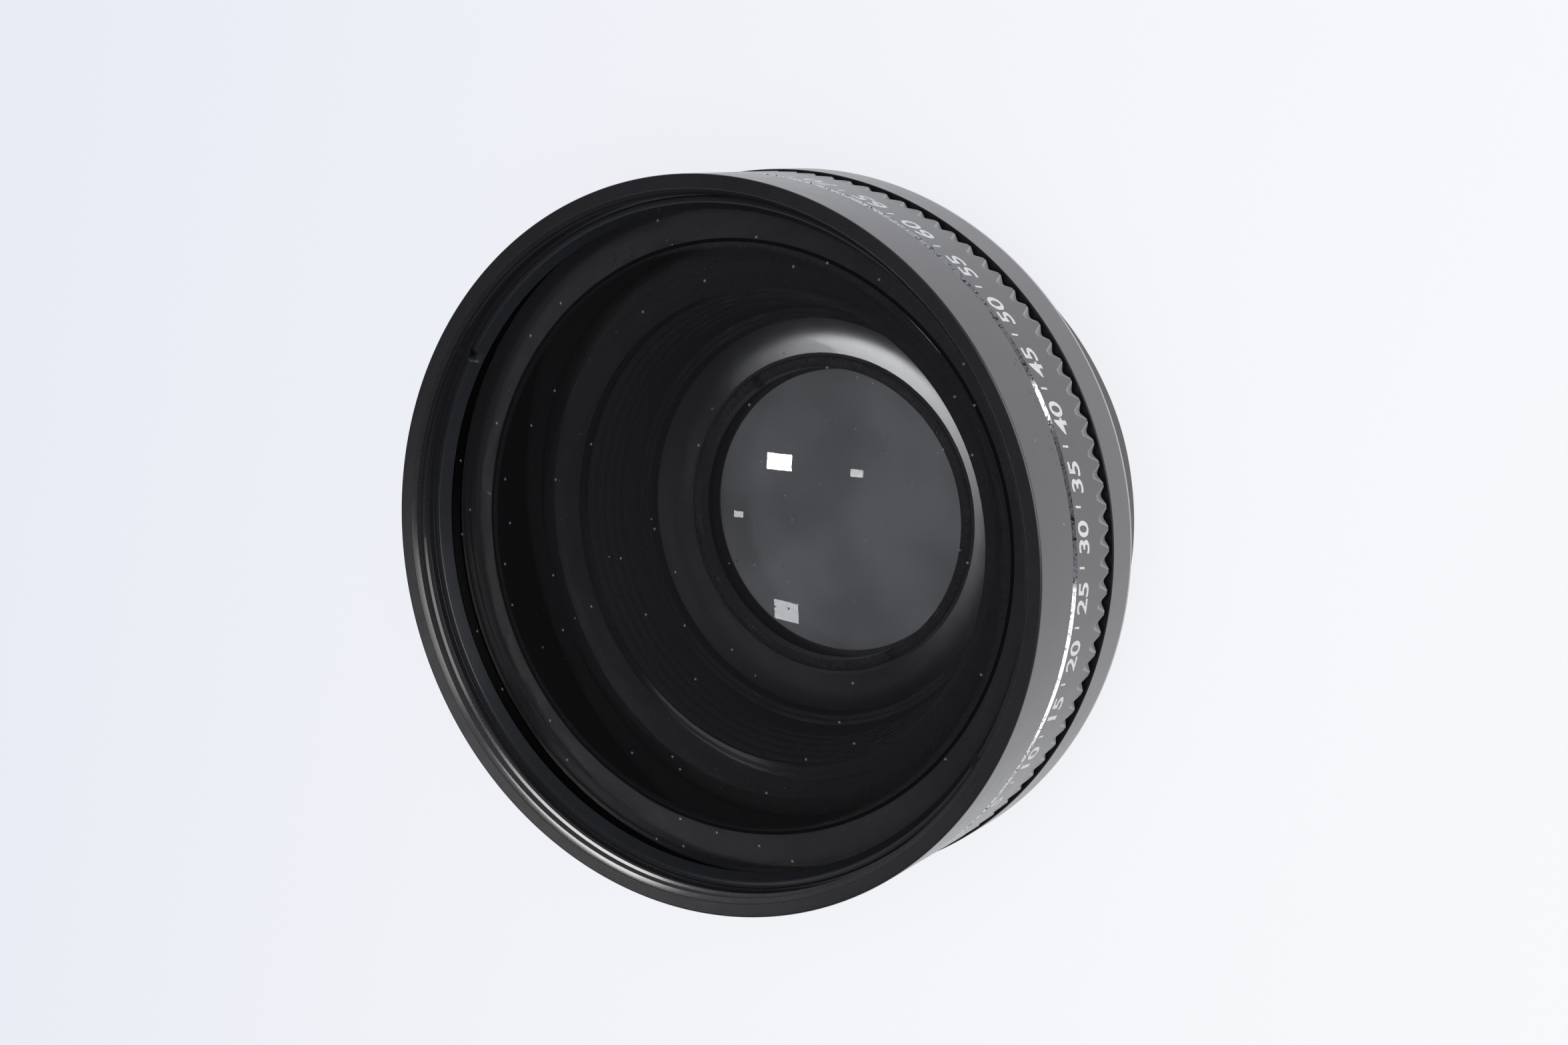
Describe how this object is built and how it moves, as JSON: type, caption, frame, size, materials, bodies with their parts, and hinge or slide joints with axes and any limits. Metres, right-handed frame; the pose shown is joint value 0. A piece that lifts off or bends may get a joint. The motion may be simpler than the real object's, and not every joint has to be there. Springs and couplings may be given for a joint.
{
  "type": "wide-angle conversion lens",
  "caption": "Black anodised wide-angle converter: hollow-backed front glass in a fluted barrel that unscrews from a rear unit with a cemented pair and a male mounting thread.",
  "frame": {"origin": "centre of the rear end face of the mounting thread, on the optical axis", "axes": "+Z along the optical axis, out of the front glass; X and Y across the lens"},
  "size_m": [0.0704, 0.0704, 0.0374],
  "materials": {
    "rear_anodised": "black anodised aluminium, fine blasted satin",
    "rear_crown_glass": "polished coated optical glass",
    "rear_flint_glass": "polished optical glass with a blackened edge",
    "rear_ring_black": "black anodised, turned satin",
    "front_glass": "polished coated optical glass with a blackened edge and rear land",
    "front_anodised": "black anodised aluminium, fine blasted satin, one bevel cut bright",
    "front_ring_black": "black anodised, smooth semi-gloss"
  },
  "bodies": {
    "macro_unit": {"macro_barrel": "rear_anodised", "macro_crown_glass": "rear_crown_glass", "macro_flint_glass": "rear_flint_glass", "macro_retaining_ring": "rear_ring_black"},
    "front_glass": {"front_element": "front_glass"},
    "front_unit": {"front_barrel": "front_anodised", "front_retaining_ring": "front_ring_black"}
  },
  "joints": [
    {"name": "front_lift", "type": "slide", "parent": "macro_unit", "child": "front_glass", "axis": [0, 0, 1], "range_m": [0, 0.00225]},
    {"name": "front_turn", "type": "hinge", "parent": "front_glass", "child": "front_unit", "pos_m": [0, 0, 0.0219], "axis": [0, 0, 1], "range_deg": [0, 1080]}
  ],
  "couplings": [
    {"joint": "front_lift", "follows": "front_turn", "m_per_rad": 0.00011936}
  ]
}
